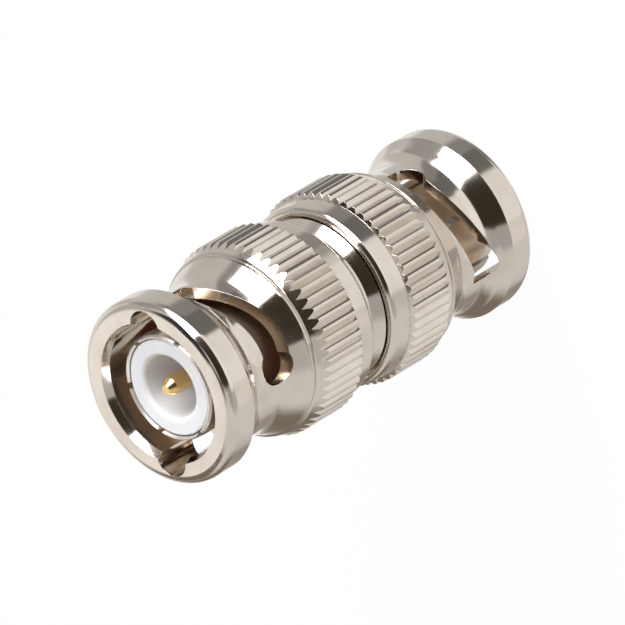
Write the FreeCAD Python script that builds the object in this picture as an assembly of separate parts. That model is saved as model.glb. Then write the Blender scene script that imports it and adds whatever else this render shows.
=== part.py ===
import FreeCAD, Part
import math
import os

# Plug to plug coaxial adapter with two bayonet coupling nuts.
# It stands on its lower nut with its axis along +Z. Each end is drawn once in its own frame,
# with z measured from the nut's mating face towards the middle, and is then placed twice.

# depths along each end, from the mating face to the middle
body_stop = 10.55
body_flange_thickness = 1.2
seat_thickness = 0.3
spring_space = 1.75
thrust_thickness = 0.6
lip_thickness = 0.55
nut_gap = 1.9
flange_back = body_stop + body_flange_thickness
seat_back = flange_back + seat_thickness
thrust_front = seat_back + spring_space
lip_start = thrust_front + thrust_thickness
nut_length = lip_start + lip_thickness
middle = nut_length + nut_gap / 2
total_length = 2 * middle

# fits
running_gap = 0.08
slip_gap = 0.01
spring_gap = 0.01
barrel_allowance = 0.1
socket_clearance = 0.1
overshoot = 0.1

# coupling nut, inside: the bore takes the jack's barrel
nut_bore_radius = 4.95
mouth_lead_in = 0.27
mouth_radius = nut_bore_radius + mouth_lead_in
mouth_depth = 0.62
barrel_radius = nut_bore_radius + barrel_allowance
lip_clear_width = 1.13
lip_radius = barrel_radius + lip_clear_width
lip_round = 0.1
lip_overhang = 0.32
counterbore_radius = lip_radius + lip_overhang

# coupling nut, flange and neck
neck_wall = 0.8
neck_radius = nut_bore_radius + neck_wall
flange_height = 1.1
flange_radius = neck_radius + flange_height
face_round = 0.7
flange_end = 2.2
flange_bevel_length = 0.7
cove_start = flange_end + flange_bevel_length
cove_height = 0.6
cove_radius_start = neck_radius + cove_height
cove_length = 1.4
neck_start = cove_start + cove_length
neck_length = 2.05
shoulder_start = neck_start + neck_length
shoulder_angle = 24.0
shoulder_fillet = 2.5

# coupling nut, bead and groove below the grip
bead_place = 2.01
bead_start = shoulder_start + bead_place
bead_height = 0.12
bead_width = 0.14
bead_groove_depth = 0.08
bead_groove_width = 0.2

# coupling nut, straight knurl and the rim behind it
grip_wall = 0.46
knurl_root_radius = counterbore_radius + grip_wall
knurl_depth = 0.29
knurl_radius = knurl_root_radius + knurl_depth
knurl_pitch = 0.8
knurl_teeth = round(2 * math.pi * knurl_radius / knurl_pitch)
valley_half_widths = (0.18, 0.33)
valley_flank_radius = knurl_radius - knurl_depth / 3
rim_length = 1.85
knurl_end = nut_length - rim_length
tooth_end_angle = 25.0
rim_step = 0.06
rim_radius = knurl_root_radius - rim_step
rim_start = knurl_end + (knurl_radius - rim_radius) * math.tan(math.radians(tooth_end_angle))
rim_taper = 0.1
rim_end_radius = rim_radius - rim_taper
rim_round = 0.45

# bayonet ramps, as angles from the way in and heights above the face
entry_cutter_radius = 1.325
entry_depth = 1.245
entry_end = 5.15
ramp_width = 2.15
ramp_path = (
    (0.0, 4.1), (16.5, 4.7), (31.5, 5.25), (46.5, 5.75),
    (61.5, 6.08), (74.0, 6.15), (87.0, 5.95),
)
ramp_clearance = 0.3
lock_hole_radius = 1.325

# outer contact: the fingers stand in the ring between the nut's bore and the insulator
gasket_thickness = 0.75
gasket_start = body_stop - gasket_thickness
jack_space = 1.0
contact_radius = nut_bore_radius - jack_space
contact_wall = 0.3
contact_bore_radius = contact_radius - contact_wall
contact_collar_step = 0.2
contact_collar_radius = contact_radius + contact_collar_step
contact_tip = 1.0
contact_nose_step = 0.02
contact_nose_radius = contact_radius - contact_nose_step
contact_nose_length = 0.16
contact_nose_width = 0.13
contact_lip_radius = contact_nose_radius - contact_nose_width
contact_crown_height = 0.04
contact_crown_radius = contact_radius + contact_crown_height
contact_crown = 1.9
contact_crown_end = 2.8
contact_seat_depth = 2.05
contact_seat = body_stop + contact_seat_depth
finger_count = 6
finger_slot_width = 0.45
finger_root = 2.2
finger_slot_end = contact_crown_end + finger_root

# insulator
insulator_face = 1.12
insulator_gap = 0.07
insulator_radius = contact_bore_radius - insulator_gap
insulator_edge = 0.12
insulator_tail_step = 0.19
insulator_tail_radius = insulator_radius - insulator_tail_step
recess_wall = 1.26
recess_radius = insulator_radius - recess_wall
recess_round = 0.35
recess_floor = 6.4

# centre pins
pin_tip = 0.8
pin_radius = 0.675
pin_tip_radius = 0.32
pin_cone_length = 0.5
pin_shank_radius = 0.85
pin_collar_lead = 0.6
pin_shoulder = contact_seat - pin_collar_lead
pin_collar_radius = 1.05
pin_stub_radius = 0.5
pin_stub_length = 1.5
pin_socket_depth = pin_stub_length + socket_clearance

# body halves
body_flange_radius = counterbore_radius - running_gap
body_bore_radius = insulator_tail_radius + slip_gap
body_chamfer = 0.12
socket_wall = 0.75
spigot_radius = barrel_radius - socket_wall
spigot_length = 1.8
socket_depth = spigot_length + socket_clearance

# centre collar, pressed over the joint of the body halves: its waist shows between the nuts
collar_gap = 0.12
collar_radius = lip_radius - collar_gap
collar_reach = 0.4
collar_waist_depth = 0.44
collar_waist_radius = collar_radius - collar_waist_depth
collar_waist_half = 0.1

# gasket and washers
gasket_gap = 0.1
gasket_outer_radius = nut_bore_radius - gasket_gap
gasket_round = 0.15
washer_inner_radius = barrel_radius + running_gap
washer_outer_radius = counterbore_radius - running_gap
wave_inner_gap = 0.07
wave_outer_gap = 0.12
wave_inner_radius = washer_inner_radius + wave_inner_gap
wave_outer_radius = washer_outer_radius - wave_outer_gap
wave_thickness = 0.22
wave_count = 3
wave_sections = 36

# how each part of each end is turned about the axis, in degrees
lower_entry_angle = -131.5
upper_entry_angle = -28.5
lower_valley_angle = -89.0
upper_valley_angle = -90.2
lower_finger_angle = -90.0
upper_finger_angle = -53.6


def at(radius, height):
    return FreeCAD.Vector(radius, 0, height)


def turned(start, *steps):
    """Turn a closed profile of (radius, z) points about Z. A step that holds two points is an arc."""
    edges = []
    here = at(*start)
    for step in steps + (start,):
        if isinstance(step[0], tuple):
            through, end = at(*step[0]), at(*step[1])
            edges.append(Part.Arc(here, through, end).toShape())
        else:
            end = at(*step)
            if here.distanceToPoint(end) > 1e-6:
                edges.append(Part.makeLine(here, end))
        here = end
    face = Part.Face(Part.Wire(edges))
    axis = FreeCAD.Vector(0, 0, 1)
    return face.revolve(FreeCAD.Vector(), axis, 360)


def round_corner(centre, radius, from_angle, to_angle):
    """Arc step about a centre in the profile, with angles from the radius direction."""
    def on_arc(angle):
        turn = math.radians(angle)
        return centre[0] + radius * math.cos(turn), centre[1] + radius * math.sin(turn)
    return on_arc((from_angle + to_angle) / 2), on_arc(to_angle)


def spun(shape, angle):
    copy = shape.copy()
    copy.rotate(FreeCAD.Vector(), FreeCAD.Vector(0, 0, 1), angle)
    return copy


def ring(inner, outer, bottom, top, edge=0.0):
    return turned(
        (inner, bottom + edge), (inner + edge, bottom), (outer - edge, bottom), (outer, bottom + edge),
        (outer, top - edge), (outer - edge, top), (inner + edge, top), (inner, top - edge),
    )


def shoulder_radius(height):
    return neck_radius + (height - shoulder_start) * math.tan(math.radians(shoulder_angle))


def shoulder_height(radius):
    return shoulder_start + (radius - neck_radius) / math.tan(math.radians(shoulder_angle))


def nut_blank():
    """Turned blank of the coupling nut before the ramps and the knurl are cut."""
    fillet_start = shoulder_start - shoulder_fillet * math.tan(math.radians(shoulder_angle / 2))
    fillet_centre = (neck_radius + shoulder_fillet, fillet_start)
    cove_turn = 2 * math.atan2(cove_radius_start - neck_radius, neck_start - cove_start)
    cove_radius = (neck_start - cove_start) / math.sin(cove_turn)
    cove_centre = (neck_radius + cove_radius, neck_start)
    groove_radius = shoulder_radius(bead_start)
    bead_top = groove_radius + bead_height
    groove_start = bead_start + bead_width + bead_groove_depth
    groove_end = groove_start + bead_groove_width
    rim_centre = (rim_end_radius - rim_round, nut_length - rim_round)
    lip_centre = (lip_radius + lip_round, nut_length - lip_round)
    return turned(
        (nut_bore_radius, mouth_depth),
        (mouth_radius, 0),
        (flange_radius - face_round, 0),
        round_corner((flange_radius - face_round, face_round), face_round, -90, 0),
        (flange_radius, flange_end),
        (cove_radius_start, cove_start),
        round_corner(cove_centre, cove_radius, 180 + math.degrees(cove_turn), 180),
        (neck_radius, fillet_start),
        round_corner(fillet_centre, shoulder_fillet, 180, 180 - shoulder_angle),
        (groove_radius, bead_start),
        (bead_top, bead_start + bead_groove_depth / 2),
        (bead_top, bead_start + bead_width),
        (groove_radius, groove_start),
        (groove_radius, groove_end - bead_groove_depth),
        (shoulder_radius(groove_end), groove_end),
        (knurl_radius, shoulder_height(knurl_radius)),
        (knurl_radius, knurl_end),
        (rim_radius, rim_start),
        (rim_end_radius, nut_length - rim_round),
        round_corner(rim_centre, rim_round, 0, 90),
        (lip_radius + lip_round, nut_length),
        round_corner(lip_centre, lip_round, 90, 180),
        (lip_radius, lip_start),
        (counterbore_radius, lip_start),
        (counterbore_radius, body_stop),
        (nut_bore_radius, body_stop),
    )


def knurl_cutters(first_valley):
    """Straight valleys all round the grip, each with two flanks a side so that the crests look rounded."""
    near, far = valley_half_widths
    clear_radius = knurl_radius + overshoot
    section = [
        (knurl_root_radius, 0), (valley_flank_radius, near), (knurl_radius, far), (clear_radius, far),
        (clear_radius, -far), (knurl_radius, -far), (valley_flank_radius, -near), (knurl_root_radius, 0),
    ]
    bottom = shoulder_height(knurl_root_radius) - overshoot
    outline = Part.makePolygon([FreeCAD.Vector(x, y, bottom) for x, y in section])
    valley = Part.Face(outline).extrude(FreeCAD.Vector(0, 0, rim_start + overshoot - bottom))
    return [spun(valley, first_valley + tooth * 360 / knurl_teeth) for tooth in range(knurl_teeth)]


def ramp_section(angle, height):
    """Closed rectangle across the ramp, in the half plane at this angle."""
    inner, outer = nut_bore_radius - ramp_clearance, flange_radius + ramp_clearance
    low, high = height - ramp_width / 2, height + ramp_width / 2
    turn = math.radians(angle)
    corners = [(inner, low), (outer, low), (outer, high), (inner, high), (inner, low)]
    return Part.makePolygon([FreeCAD.Vector(r * math.cos(turn), r * math.sin(turn), z) for r, z in corners])


def bayonet_cutters():
    """One lug's way in: a channel from the face, a rising ramp through the wall, a round locking hole."""
    up = FreeCAD.Vector(0, 0, 1)
    outward = FreeCAD.Vector(1, 0, 0)
    channel_centre = at(nut_bore_radius + entry_depth - entry_cutter_radius, -overshoot)
    channel = Part.makeCylinder(entry_cutter_radius, entry_end + overshoot, channel_centre, up)
    ramp = Part.makeLoft([ramp_section(*station) for station in ramp_path], True, False)
    lock_angle, lock_height = ramp_path[-1]
    hole_start = nut_bore_radius - ramp_clearance
    hole_length = flange_radius + ramp_clearance - hole_start
    hole = Part.makeCylinder(lock_hole_radius, hole_length, at(hole_start, lock_height), outward)
    return [channel, ramp, spun(hole, lock_angle)]


def coupling_nut(first_valley):
    nut = nut_blank()
    for tool in bayonet_cutters():
        nut = nut.cut(tool)
        nut = nut.cut(spun(tool, 180))
    return nut.cut(knurl_cutters(first_valley)).removeSplitter()


def body_half(with_spigot):
    """Flanged barrel. One half's spigot presses into the other half's socket."""
    outside = [
        (contact_collar_radius, body_stop),
        (body_flange_radius - body_chamfer, body_stop),
        (body_flange_radius, body_stop + body_chamfer),
        (body_flange_radius, flange_back - body_chamfer),
        (body_flange_radius - body_chamfer, flange_back),
        (barrel_radius, flange_back),
        (barrel_radius, middle - body_chamfer / 2),
        (barrel_radius - body_chamfer / 2, middle),
        (spigot_radius, middle),
    ]
    if with_spigot:
        joint = [
            (spigot_radius, middle + spigot_length - body_chamfer),
            (spigot_radius - body_chamfer, middle + spigot_length),
            (body_bore_radius, middle + spigot_length),
        ]
    else:
        joint = [(spigot_radius, middle - socket_depth), (body_bore_radius, middle - socket_depth)]
    seat = [(body_bore_radius, contact_seat), (contact_collar_radius, contact_seat)]
    return turned(*outside, *joint, *seat)


def centre_collar():
    """Waisted ring between the nuts. Each end reaches a little way into a nut's lip."""
    half_length = nut_gap / 2 + collar_reach
    return turned(
        (barrel_radius, middle - half_length),
        (collar_radius, middle - half_length),
        (collar_radius, middle - nut_gap / 2),
        (collar_waist_radius, middle - collar_waist_half),
        (collar_waist_radius, middle + collar_waist_half),
        (collar_radius, middle + nut_gap / 2),
        (collar_radius, middle + half_length),
        (barrel_radius, middle + half_length),
    )


def outer_contact():
    """Slotted sleeve with a raised crown near its tip and a thicker collar pressed into the body."""
    tube = turned(
        (contact_bore_radius, contact_tip + contact_nose_length),
        (contact_lip_radius - contact_nose_length / 2, contact_tip),
        (contact_lip_radius, contact_tip),
        (contact_nose_radius, contact_tip + contact_nose_length),
        (contact_crown_radius, contact_crown),
        (contact_radius, contact_crown_end),
        (contact_radius, gasket_start),
        (contact_collar_radius, gasket_start),
        (contact_collar_radius, contact_seat),
        (contact_bore_radius, contact_seat),
    )
    slot_start = contact_bore_radius - overshoot
    slot = Part.makeBox(
        contact_crown_radius + overshoot - slot_start, finger_slot_width, finger_slot_end,
        FreeCAD.Vector(slot_start, -finger_slot_width / 2, 0))
    return tube.cut([spun(slot, finger * 360 / finger_count) for finger in range(finger_count)])


def insulator():
    """White sleeve with a round recess for the jack's insulator. Its tail meets the other end's tail."""
    mouth_centre = (recess_radius + recess_round, insulator_face + recess_round)
    return turned(
        (recess_radius + recess_round, insulator_face),
        (insulator_radius - insulator_edge, insulator_face),
        (insulator_radius, insulator_face + insulator_edge),
        (insulator_radius, contact_seat),
        (insulator_tail_radius, contact_seat),
        (insulator_tail_radius, middle),
        (pin_collar_radius + slip_gap, middle),
        (pin_collar_radius + slip_gap, pin_shoulder),
        (pin_shank_radius + slip_gap, pin_shoulder),
        (pin_shank_radius + slip_gap, recess_floor),
        (recess_radius, recess_floor),
        (recess_radius, insulator_face + recess_round),
        round_corner(mouth_centre, recess_round, 180, 270),
    )


def centre_pin(with_stub):
    """Pin whose shank widens at the recess floor and again at its collar in the middle."""
    shank = [
        (0, pin_tip),
        (pin_tip_radius, pin_tip),
        (pin_radius, pin_tip + pin_cone_length),
        (pin_radius, recess_floor),
        (pin_shank_radius, recess_floor),
        (pin_shank_radius, pin_shoulder),
        (pin_collar_radius, pin_shoulder),
        (pin_collar_radius, middle),
        (pin_stub_radius, middle),
    ]
    if with_stub:
        joint = [(pin_stub_radius, middle + pin_stub_length), (0, middle + pin_stub_length)]
    else:
        joint = [(pin_stub_radius, middle - pin_socket_depth), (0, middle - pin_socket_depth)]
    return turned(*shank, *joint)


def gasket():
    return ring(contact_collar_radius + slip_gap, gasket_outer_radius, gasket_start, body_stop, gasket_round)


def seat_washer():
    return ring(washer_inner_radius, washer_outer_radius, flange_back, seat_back)


def thrust_washer():
    return ring(washer_inner_radius, washer_outer_radius, thrust_front, lip_start)


def wave_washer(outermost):
    """One of two nested wave washers between the seat washer and the thrust washer."""
    low = seat_back + spring_gap
    high = thrust_front - spring_gap
    swing = (high - low - 2 * wave_thickness - spring_gap) / 2
    mean_height = low + swing
    if outermost:
        mean_height += wave_thickness + spring_gap
    sections = []
    for station in range(wave_sections):
        turn = 2 * math.pi * station / wave_sections
        base = mean_height + swing * math.sin(wave_count * turn)
        top = base + wave_thickness
        corners = [(wave_inner_radius, base), (wave_outer_radius, base), (wave_outer_radius, top)]
        corners += [(wave_inner_radius, top), (wave_inner_radius, base)]
        points = [FreeCAD.Vector(r * math.cos(turn), r * math.sin(turn), z) for r, z in corners]
        sections.append(Part.makePolygon(points))
    solid, ruled, closed = True, False, True
    return Part.makeLoft(sections, solid, ruled, closed)


def lower(shape, angle=0.0):
    return spun(shape, angle)


def upper(shape, angle=0.0):
    """Turn a piece end for end, so that its mating end points up at the top of the adapter."""
    copy = shape.copy()
    copy.rotate(FreeCAD.Vector(), FreeCAD.Vector(1, 0, 0), 180)
    copy.translate(FreeCAD.Vector(0, 0, total_length))
    return spun(copy, angle)


def build():
    contact = outer_contact()
    lower_nut = coupling_nut(lower_valley_angle - lower_entry_angle)
    upper_nut = coupling_nut(upper_entry_angle - upper_valley_angle)
    pieces = {
        "body_lower": lower(body_half(False)),
        "body_upper": upper(body_half(True)),
        "centre_collar": centre_collar(),
        "pin_lower": lower(centre_pin(False)),
        "pin_upper": upper(centre_pin(True)),
        "coupling_nut_lower": lower(lower_nut, lower_entry_angle),
        "coupling_nut_upper": upper(upper_nut, upper_entry_angle),
        "outer_contact_lower": lower(contact, lower_finger_angle),
        "outer_contact_upper": upper(contact, upper_finger_angle),
    }
    both_ends = {
        "insulator": insulator(),
        "gasket": gasket(),
        "seat_washer": seat_washer(),
        "thrust_washer": thrust_washer(),
        "wave_washer_inner": wave_washer(False),
        "wave_washer_outer": wave_washer(True),
    }
    for name, shape in both_ends.items():
        pieces[name + "_lower"] = lower(shape)
        pieces[name + "_upper"] = upper(shape)
    return pieces


os.makedirs("parts", exist_ok=True)
for name, shape in build().items():
    print(name, "valid", shape.isValid(), "solids", len(shape.Solids), "volume", round(shape.Volume, 3))
    shape.exportStep("parts/" + name + ".step")
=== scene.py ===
# %% [markdown]
# # Plug to plug coaxial adapter
#
# The object is a short turned barrel with a knurled bayonet nut at each end. All of its shapes are
# turned or milled metal, so the solids are right as they are. What is left to do here is the look of
# bright nickel plate, gold, white insulator and red silicone, and a studio that shows them.

# %% Load the part
import math

import bpy
from mathutils import Matrix, Vector


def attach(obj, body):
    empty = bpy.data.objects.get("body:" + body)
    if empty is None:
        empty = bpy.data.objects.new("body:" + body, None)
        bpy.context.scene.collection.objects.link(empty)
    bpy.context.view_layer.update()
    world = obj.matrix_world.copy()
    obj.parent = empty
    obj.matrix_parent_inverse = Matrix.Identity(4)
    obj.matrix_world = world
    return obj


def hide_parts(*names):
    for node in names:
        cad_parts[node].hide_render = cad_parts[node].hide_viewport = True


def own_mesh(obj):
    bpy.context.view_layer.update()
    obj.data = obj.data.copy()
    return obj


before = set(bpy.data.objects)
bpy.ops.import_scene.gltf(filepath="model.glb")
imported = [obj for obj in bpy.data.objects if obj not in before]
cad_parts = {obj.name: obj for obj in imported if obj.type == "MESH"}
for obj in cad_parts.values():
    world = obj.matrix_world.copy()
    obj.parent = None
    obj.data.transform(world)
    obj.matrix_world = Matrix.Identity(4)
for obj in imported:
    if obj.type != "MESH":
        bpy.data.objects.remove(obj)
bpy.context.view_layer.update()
mm = 0.001
total_height = 31.8
middle_height = total_height / 2 * mm
print("pieces in the part:", len(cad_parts))

# %% [markdown]
# ## The camera
#
# The adapter stands on its lower nut, and the picture is taken from above its upper plug with the
# camera rolled over, so that the adapter seems to lie across the picture. Three angles and a point to
# aim at say this more plainly than a matrix does. The lens is long, because nothing in the picture
# converges much.

# %% Camera
aim = Vector((-0.56, 0.22, 15.94)) * mm
distance = 801.4 * mm
elevation = math.radians(40.44)
roll = math.radians(120.56)

towards_camera = Vector((0, -math.cos(elevation), math.sin(elevation)))
level_up = Vector((0, math.sin(elevation), math.cos(elevation)))
level_right = Vector((1, 0, 0))
picture_up = level_up * math.cos(roll) + level_right * math.sin(roll)
picture_right = level_right * math.cos(roll) - level_up * math.sin(roll)

camera_data = bpy.data.cameras.new("camera")
camera_data.sensor_width = 36.0
camera_data.lens = 667.4
camera_data.clip_start = 0.05
camera = bpy.data.objects.new("camera", camera_data)
bpy.context.scene.collection.objects.link(camera)
turn = Matrix((picture_right, picture_up, towards_camera)).transposed()
camera.matrix_world = Matrix.LocRotScale(aim + towards_camera * distance, turn, None)
bpy.context.scene.camera = camera
bpy.context.scene.view_settings.view_transform = "Standard"
print("camera at", [round(value / mm) for value in camera.location], "mm")

# %% [markdown]
# ## Small helpers for nodes
#
# A node tree is easier to read as sums than as a picture of boxes. These helpers make one node each
# and hand back the socket that comes out of it.


# %% Node helpers
def plug(tree, socket, value):
    """Link a socket, or set its plain value."""
    if isinstance(value, bpy.types.NodeSocket):
        tree.links.new(value, socket)
    else:
        socket.default_value = value


def number(tree, operation, *values, clamp=False):
    node = tree.nodes.new("ShaderNodeMath")
    node.operation = operation
    node.use_clamp = clamp
    for socket, value in zip(node.inputs, values):
        plug(tree, socket, value)
    return node.outputs["Value"]


def vector(tree, operation, *values):
    node = tree.nodes.new("ShaderNodeVectorMath")
    node.operation = operation
    for socket, value in zip(node.inputs, values):
        plug(tree, socket, value)
    name = "Value" if operation in ("DOT_PRODUCT", "LENGTH") else "Vector"
    return node.outputs[name]


def ramp(tree, value, low, high, at_low=0.0, at_high=1.0, smooth=True):
    node = tree.nodes.new("ShaderNodeMapRange")
    node.interpolation_type = "SMOOTHSTEP" if smooth else "LINEAR"
    names = ("Value", "From Min", "From Max", "To Min", "To Max")
    for name, given in zip(names, (value, low, high, at_low, at_high)):
        plug(tree, node.inputs[name], given)
    return node.outputs["Result"]


def blend_colour(tree, share, first, second):
    node = tree.nodes.new("ShaderNodeMix")
    node.data_type = "RGBA"
    plug(tree, node.inputs["Factor"], share)
    plug(tree, node.inputs["A"], first)
    plug(tree, node.inputs["B"], second)
    return node.outputs["Result"]


print("helpers: plug, number, vector, ramp and blend_colour")


# %% [markdown]
# ## The studio
#
# Polished nickel has hardly any colour of its own: it looks like whatever stands round it. The picture
# shows a soft box to the right of the camera, a dark room behind the camera, dark corners far to both
# sides, and pale walls and table elsewhere. Lamps and boards could be set up as real objects, but all
# of it is far away next to a thing 32 mm long. So it is painted on the world by direction, in degrees
# round from the camera's side and degrees up, which keeps every edge under control.


# %% World by direction
def between(tree, value, low, high, edge):
    above = ramp(tree, value, low - edge, low + edge)
    below = ramp(tree, value, high + edge, high - edge)
    return number(tree, "MULTIPLY", above, below)


world = bpy.data.worlds.new("studio")
bpy.context.scene.world = world
world.use_nodes = True
sky = world.node_tree
sky.nodes.clear()
way = sky.nodes.new("ShaderNodeTexCoord").outputs["Generated"]
direction = sky.nodes.new("ShaderNodeSeparateXYZ")
sky.links.new(way, direction.inputs["Vector"])
toward_front = number(sky, "MULTIPLY", direction.outputs["Y"], -1.0)
around = number(sky, "ARCTAN2", direction.outputs["X"], toward_front)
around = number(sky, "MULTIPLY", around, 180 / math.pi)
upward = number(sky, "ARCSINE", direction.outputs["Z"])
upward = number(sky, "MULTIPLY", upward, 180 / math.pi)
print("the world is read as degrees round and degrees up")

# %% [markdown]
# ## Walls, corners and table
#
# The pale and dark parts of the studio are patches between two angles round and two angles up. Each
# one has a soft edge, because none of them is a sharp sheet of card, and a later patch lies over an
# earlier one.

# %% Panels of the studio
# each panel: degrees round, degrees up, softness of its edges, brightness, tint
cream = (1.0, 0.985, 0.96)
pink_cream = (1.04, 0.99, 0.955)
brown = (1.12, 0.97, 0.80)
panels = {
    "pale corner behind": ((130, 200), (-90, 20), 12, 0.92, cream),
    "wall above it": ((112, 160), (20, 54), 8, 0.55, cream),
    "wall behind, over the adapter": ((165, 200), (20, 62), 6, 1.1, cream),
    "pale corner behind, other side": ((-200, -166), (-60, 62), 5, 1.05, pink_cream),
    "dark corner on the left": ((-163, -110), (-36, 8), 12, 0.21, brown),
    "foot of the dark corner": ((-163, -125), (-52, -36), 8, 0.28, brown),
    "top of the dark corner": ((-175, -140), (8, 45), 6, 0.2, brown),
    "wall left of the camera": ((-60, -30), (-34, 5), 6, 0.56, cream),
    "its lower edge": ((-62, -36), (-50, -34), 5, 0.85, pink_cream),
    "its upper half": ((-60, -28), (5, 45), 6, 0.48, cream),
    "table in front": ((-36, 29), (-90, 0), 3, 0.98, cream),
    "far side of the table": ((-36, 29), (-30, 0), 2, 1.06, cream),
    "near side of the table": ((-36, 43), (-90, -50), 3, 0.98, cream),
    "wall right of the soft box": ((74, 120), (0, 40), 6, 0.4, cream),
    "floor further right": ((90, 142), (-50, 0), 5, 0.64, cream),
    "floor right of the soft box": ((60, 90), (-50, 0), 5, 0.3, cream),
    "floor under the soft box": ((30, 64), (-48, 0), 2, 0.18, cream),
    "dark floor far down": ((45, 92), (-80, -50), 4, 0.2, cream),
    "dark floor behind": ((92, 150), (-80, -62), 8, 0.3, cream),
    "dark ceiling on the right": ((60, 185), (52, 90), 5, 0.04, cream),
    "dark ceiling on the left": ((-185, -70), (72, 90), 4, 0.05, cream),
}
light = (0.76, 0.75, 0.73, 1)
for round_range, up_range, edge, brightness, tint in panels.values():
    inside = number(
        sky, "MULTIPLY", between(sky, around, *round_range, edge), between(sky, upward, *up_range, edge))
    light = blend_colour(sky, inside, light, (*[brightness * part for part in tint], 1))
print("panels:", ", ".join(panels))

# %% [markdown]
# ## The soft box and the dark room beside it
#
# These two make the white and the black band on every turned face. They meet at one slanting edge,
# because the soft box leans over. A plane through the object gives such an edge exactly: on one side
# of it a direction is inside the soft box, on the other side in the dark room.

# %% Soft box and dark room
box_edge_normal = (0.877, 0.449, -0.173)
room_edge_normal = (-0.877, 0.449, -0.173)
box_along = (-0.196, 0.662, 0.723)
box_top_from, box_top_to = 0.57, 0.53
room_up, room_around = (1, 76), (-80, 80)
box_up, box_around = (-1, 80), (20, 76)
room_light = (0.042, 0.035, 0.024, 1)
box_light = (7.5, 7.5, 7.6, 1)
beside_room = vector(sky, "DOT_PRODUCT", way, box_edge_normal)
other_side = vector(sky, "DOT_PRODUCT", way, room_edge_normal)
dark_room = number(sky, "MULTIPLY", ramp(sky, beside_room, 0.03, -0.01), ramp(sky, other_side, 0.05, -0.03))
dark_room = number(sky, "MULTIPLY", dark_room, between(sky, upward, *room_up, 2))
dark_room = number(sky, "MULTIPLY", dark_room, between(sky, around, *room_around, 5))
light = blend_colour(sky, dark_room, light, room_light)
box_height = vector(sky, "DOT_PRODUCT", way, box_along)
soft_box = number(
    sky, "MULTIPLY", ramp(sky, beside_room, 0.02, 0.06), ramp(sky, box_height, box_top_from, box_top_to))
soft_box = number(sky, "MULTIPLY", soft_box, between(sky, upward, *box_up, 1.5))
soft_box = number(sky, "MULTIPLY", soft_box, between(sky, around, *box_around, 2))
light = blend_colour(sky, soft_box, light, box_light)
print("soft box and dark room added")

# %% [markdown]
# ## What the camera sees behind the object
#
# The picture's background is plain white. It comes without more light on the object: only the
# rays that come straight from the camera, or through something clear, see white. Rays that leave the
# metal see the painted studio, where the pale table in front is nearly the same white.

# %% Background
light_path = sky.nodes.new("ShaderNodeLightPath")
straight = number(
    sky, "ADD", light_path.outputs["Is Camera Ray"], light_path.outputs["Is Transmission Ray"], clamp=True)
seen = blend_colour(sky, straight, light, (1, 1, 1, 1))
background = sky.nodes.new("ShaderNodeBackground")
plug(sky, background.inputs["Color"], seen)
output = sky.nodes.new("ShaderNodeOutputWorld")
sky.links.new(background.outputs["Background"], output.inputs["Surface"])
print("world nodes:", len(sky.nodes))

# %% [markdown]
# ## The table
#
# The adapter stands on a plain pale sheet. Most of what the camera sees of it is its own light, so
# that the sheet is white in the picture and still keeps the soft shadow under the nut. The metal
# mirrors the table that is painted on the world, so this sheet is left out of its reflections.


# %% Table
def new_material(name):
    material = bpy.data.materials.new(name)
    material.use_nodes = True
    return material, material.node_tree, material.node_tree.nodes["Principled BSDF"]


table_half = 160 * mm
own_light_share = 0.97
table_mesh = bpy.data.meshes.new("table")
corners = [(x * table_half, y * table_half, 0) for x, y in ((-1, -1), (1, -1), (1, 1), (-1, 1))]
table_mesh.from_pydata(corners, [], [(0, 1, 2, 3)])
table = bpy.data.objects.new("table", table_mesh)
bpy.context.scene.collection.objects.link(table)
table.visible_glossy = False

table_paper, tree, paper = new_material("table_paper")
paper.inputs["Base Color"].default_value = (0.86, 0.855, 0.845, 1)
paper.inputs["Roughness"].default_value = 0.9
paper.inputs["Specular IOR Level"].default_value = 0.1
glow = tree.nodes.new("ShaderNodeEmission")
glow.inputs["Color"].default_value = (1, 1, 1, 1)
glow.inputs["Strength"].default_value = 1.0
mixed = tree.nodes.new("ShaderNodeMixShader")
path = tree.nodes.new("ShaderNodeLightPath")
straight = number(
    tree, "ADD", path.outputs["Is Camera Ray"], path.outputs["Is Transmission Ray"], clamp=True)
plug(tree, mixed.inputs["Fac"], number(tree, "MULTIPLY", straight, own_light_share))
tree.links.new(paper.outputs["BSDF"], mixed.inputs[1])
tree.links.new(glow.outputs["Emission"], mixed.inputs[2])
tree.links.new(mixed.outputs["Shader"], tree.nodes["Material Output"].inputs["Surface"])
table_mesh.materials.append(table_paper)
print("table:", round(2 * table_half / mm), "mm wide")

# %% [markdown]
# ## Marks of the lathe
#
# Every metal face was turned, so very fine rings run round the axis. A noise that reads only the
# distance from the axis and the height makes rings on flat faces and on cylinders alike, and it needs
# no unwrapping. More than one metal uses it, so it is a node group.


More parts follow.
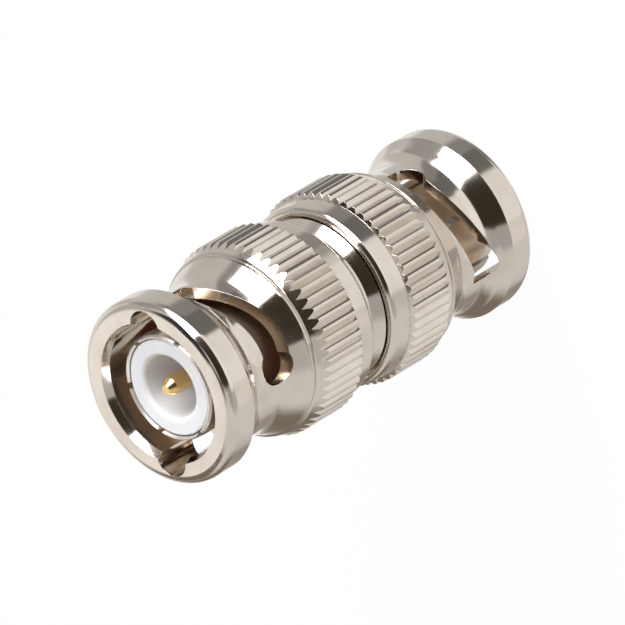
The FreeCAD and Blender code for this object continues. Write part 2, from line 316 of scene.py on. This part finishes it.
# %% Lathe rings as a node group
def make_turning_marks():
    group = bpy.data.node_groups.new("turning_marks", "ShaderNodeTree")
    group.interface.new_socket("Rings per mm", in_out="INPUT", socket_type="NodeSocketFloat")
    group.interface.new_socket("Height", in_out="OUTPUT", socket_type="NodeSocketFloat")
    group.interface.new_socket("Haze", in_out="OUTPUT", socket_type="NodeSocketFloat")
    given = group.nodes.new("NodeGroupInput")
    result = group.nodes.new("NodeGroupOutput")
    place = group.nodes.new("ShaderNodeTexCoord").outputs["Object"]
    split = group.nodes.new("ShaderNodeSeparateXYZ")
    group.links.new(place, split.inputs["Vector"])
    flat = group.nodes.new("ShaderNodeCombineXYZ")
    group.links.new(split.outputs["X"], flat.inputs["X"])
    group.links.new(split.outputs["Y"], flat.inputs["Y"])
    radius = vector(group, "LENGTH", flat.outputs["Vector"])
    section = group.nodes.new("ShaderNodeCombineXYZ")
    group.links.new(radius, section.inputs["X"])
    group.links.new(split.outputs["Z"], section.inputs["Z"])
    turned = group.nodes.new("ShaderNodeTexNoise")
    turned.inputs["Detail"].default_value = 3.0
    turned.inputs["Roughness"].default_value = 0.6
    group.links.new(section.outputs["Vector"], turned.inputs["Vector"])
    group.links.new(number(group, "MULTIPLY", given.outputs["Rings per mm"], 1 / mm), turned.inputs["Scale"])
    spots = group.nodes.new("ShaderNodeTexNoise")
    spots.inputs["Scale"].default_value = 0.45 / mm
    spots.inputs["Detail"].default_value = 4.0
    group.links.new(place, spots.inputs["Vector"])
    group.links.new(turned.outputs["Fac"], result.inputs["Height"])
    group.links.new(ramp(group, spots.outputs["Fac"], 0.35, 0.75), result.inputs["Haze"])
    return group


turning_marks = make_turning_marks()
print("made", turning_marks.name)

# %% [markdown]
# ## Nickel, satin nickel, gold and bronze
#
# The metals are one recipe with other values: a metallic shader, fine rings that bend the
# reflection a little, a haze that makes it softer in patches, and edges that are broken rather than
# knife sharp. The broken edge comes from the Bevel node, since the plated edges are only a few
# hundredths of a millimetre round.


# %% Metals
def plated(name, colour, dull_colour, roughness, haze, ring_depth, rings_per_mm, edge_round):
    material, tree, shader = new_material(name)
    marks = tree.nodes.new("ShaderNodeGroup")
    marks.node_tree = turning_marks
    marks.inputs["Rings per mm"].default_value = rings_per_mm
    shade = blend_colour(tree, marks.outputs["Haze"], (*colour, 1), (*dull_colour, 1))
    blur = ramp(tree, marks.outputs["Haze"], 0.0, 1.0, roughness, roughness + haze, smooth=False)
    plug(tree, shader.inputs["Base Color"], shade)
    plug(tree, shader.inputs["Roughness"], blur)
    shader.inputs["Metallic"].default_value = 1.0
    broken = tree.nodes.new("ShaderNodeBevel")
    broken.samples = 4
    broken.inputs["Radius"].default_value = edge_round
    bump = tree.nodes.new("ShaderNodeBump")
    bump.inputs["Strength"].default_value = 1.0
    bump.inputs["Distance"].default_value = ring_depth
    plug(tree, bump.inputs["Height"], marks.outputs["Height"])
    plug(tree, bump.inputs["Normal"], broken.outputs["Normal"])
    plug(tree, shader.inputs["Normal"], bump.outputs["Normal"])
    return material


nickel = plated(
    "bright_nickel", colour=(0.74, 0.685, 0.625), dull_colour=(0.68, 0.615, 0.55),
    roughness=0.09, haze=0.06, ring_depth=0.0003 * mm, rings_per_mm=9.0, edge_round=0.05 * mm)
satin_nickel = plated(
    "satin_nickel", colour=(0.78, 0.68, 0.56), dull_colour=(0.70, 0.59, 0.46),
    roughness=0.36, haze=0.08, ring_depth=0.0006 * mm, rings_per_mm=12.0, edge_round=0.03 * mm)
# painted shade: the satin nickel again, painted darker and warmer for the shade deep inside the nut's mouth
contact_nickel_painted_shade = plated(
    "contact_nickel_painted_shade", colour=(0.78, 0.63, 0.48), dull_colour=(0.69, 0.53, 0.38),
    roughness=0.36, haze=0.08, ring_depth=0.0006 * mm, rings_per_mm=12.0, edge_round=0.03 * mm)
gold = plated(
    "gold_plate", colour=(0.98, 0.72, 0.34), dull_colour=(0.92, 0.62, 0.25),
    roughness=0.2, haze=0.06, ring_depth=0.0004 * mm, rings_per_mm=12.0, edge_round=0.03 * mm)
bronze = plated(
    "spring_bronze", colour=(0.62, 0.36, 0.20), dull_colour=(0.45, 0.25, 0.14),
    roughness=0.3, haze=0.1, ring_depth=0.0004 * mm, rings_per_mm=6.0, edge_round=0.02 * mm)
print("metals:", ", ".join(metal.name for metal in (nickel, satin_nickel, contact_nickel_painted_shade, gold, bronze)))

# %% [markdown]
# ## Painted light on the contact fingers
#
# The finger tips are painted lighter, as a painted highlight where light falls at the mouth, while the
# sleeve further in keeps its darker, warmer colour, as painted shade inside the nut. The height above
# and below the middle of the adapter tells the two apart, so one blend along the axis does it for both
# ends.

# %% Painted highlight on the finger tips
# painted highlight on the tips, painted shade on the sleeve further in
lit_tips_from, lit_tips_to = 12.8, 14.2
tip_highlight_colour = (0.90, 0.85, 0.80, 1)
tree = contact_nickel_painted_shade.node_tree
shader = tree.nodes["Principled BSDF"]
split = tree.nodes.new("ShaderNodeSeparateXYZ")
tree.links.new(tree.nodes.new("ShaderNodeTexCoord").outputs["Object"], split.inputs["Vector"])
from_middle = number(tree, "ABSOLUTE", number(tree, "SUBTRACT", split.outputs["Z"], middle_height))
tip_highlight_share = ramp(tree, from_middle, lit_tips_from * mm, lit_tips_to * mm)
shaded_sleeve_colour = shader.inputs["Base Color"].links[0].from_socket
plug(tree, shader.inputs["Base Color"], blend_colour(tree, tip_highlight_share, shaded_sleeve_colour, tip_highlight_colour))
print("the fingers turn bright from", lit_tips_from, "to", lit_tips_to, "mm off the middle")

# %% [markdown]
# ## White insulator and red silicone
#
# The insulator is a milky polymer: light goes in a little way and comes out softened, so it gets a
# small share of subsurface light. The gasket is matt dark red rubber.


# %% Insulator and gasket
def soft_material(name, colour, roughness, through, depth):
    material, tree, shader = new_material(name)
    marks = tree.nodes.new("ShaderNodeGroup")
    marks.node_tree = turning_marks
    marks.inputs["Rings per mm"].default_value = 5.0
    hazy_share = 0.93
    darker = [value * hazy_share for value in colour]
    shade = blend_colour(tree, marks.outputs["Haze"], (*colour, 1), (*darker, 1))
    plug(tree, shader.inputs["Base Color"], shade)
    shader.inputs["Roughness"].default_value = roughness
    shader.inputs["Subsurface Weight"].default_value = through
    shader.inputs["Subsurface Radius"].default_value = (1.0, 0.9, 0.8)
    shader.inputs["Subsurface Scale"].default_value = depth
    return material


milky = soft_material(
    "milky_insulator", colour=(0.88, 0.885, 0.91), roughness=0.32, through=0.3, depth=0.4 * mm)
silicone = soft_material(
    "red_silicone", colour=(0.92, 0.26, 0.14), roughness=0.4, through=0.05, depth=0.1 * mm)
print("soft materials:", milky.name, silicone.name)

# %% [markdown]
# ## Which piece has which finish
#
# Nuts, barrel and collar are bright nickel on brass. The outer contacts and washers have a duller
# plating, because they rub on other pieces; on the outer contacts it is also painted darker and
# warmer, as painted shade deep in the nut's mouth. The wave washers are bare rolled bronze and the
# pins are gold. The name of a piece without its end says what it is, so one list serves both plugs.

# %% Give each solid its finish
finishes = {
    "coupling_nut": nickel,
    "body": nickel,
    "centre_collar": nickel,
    "outer_contact": contact_nickel_painted_shade,
    "thrust_washer": satin_nickel,
    "seat_washer": satin_nickel,
    "wave_washer": bronze,
    "pin": gold,
    "insulator": milky,
    "gasket": silicone,
}
for name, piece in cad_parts.items():
    kind = next(word for word in finishes if name.startswith(word))
    piece.material_slots[0].material = finishes[kind]
print("dressed", len(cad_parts), "pieces")

# %% [markdown]
# ## Wave washers
#
# When a nut is drawn onto a jack, its thrust washer comes 1.2 mm closer to the flange and presses the
# nested pair of wave washers flat. A rigid solid can't do that, so each washer is made again here, as
# a strip that runs round in three waves.

# %% Wave washers
inner_radius, outer_radius, strip = 5.20, 6.30, 0.22
seat_height, spring_space, travel = 12.05, 1.75, 1.2
contact_gap = 0.01
waves, stations = 3, 144
swing = (spring_space - 2 * strip - 3 * contact_gap) / 2


def wave_points(mean_height, upper_end):
    """Four corners of the strip at each station round the axis."""
    points = []
    for station in range(stations):
        turn = 2 * math.pi * station / stations
        base = mean_height + swing * math.sin(waves * turn)
        top = base + strip
        radii = (inner_radius, outer_radius, outer_radius, inner_radius)
        for radius, height in zip(radii, (base, base, top, top)):
            x, y = radius * math.cos(turn), radius * math.sin(turn)
            place = (x, -y, total_height - height) if upper_end else (x, y, height)
            points.append([part * mm for part in place])
    return points


def wave_washer(name, mean_height, upper_end):
    quads = []
    for station in range(stations):
        here, there = 4 * station, 4 * ((station + 1) % stations)
        for side in range(4):
            after = (side + 1) % 4
            quads.append((here + side, there + side, there + after, here + after))
    mesh = bpy.data.meshes.new(name)
    mesh.from_pydata(wave_points(mean_height, upper_end), [], quads)
    mesh.shade_smooth()
    mesh.set_sharp_from_angle(angle=math.radians(40))
    mesh.materials.append(bronze)
    washer = bpy.data.objects.new(name, mesh)
    bpy.context.scene.collection.objects.link(washer)
    return washer


for end in ("lower", "upper"):
    for layer, lift in (("inner", 0.0), ("outer", strip + contact_gap)):
        mean_height = seat_height + contact_gap + swing + lift
        washer = wave_washer(f"wave_spring_{layer}_{end}", mean_height, end == "upper")
        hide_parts(f"wave_washer_{layer}_{end}")
        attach(washer, "barrel")
        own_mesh(washer)
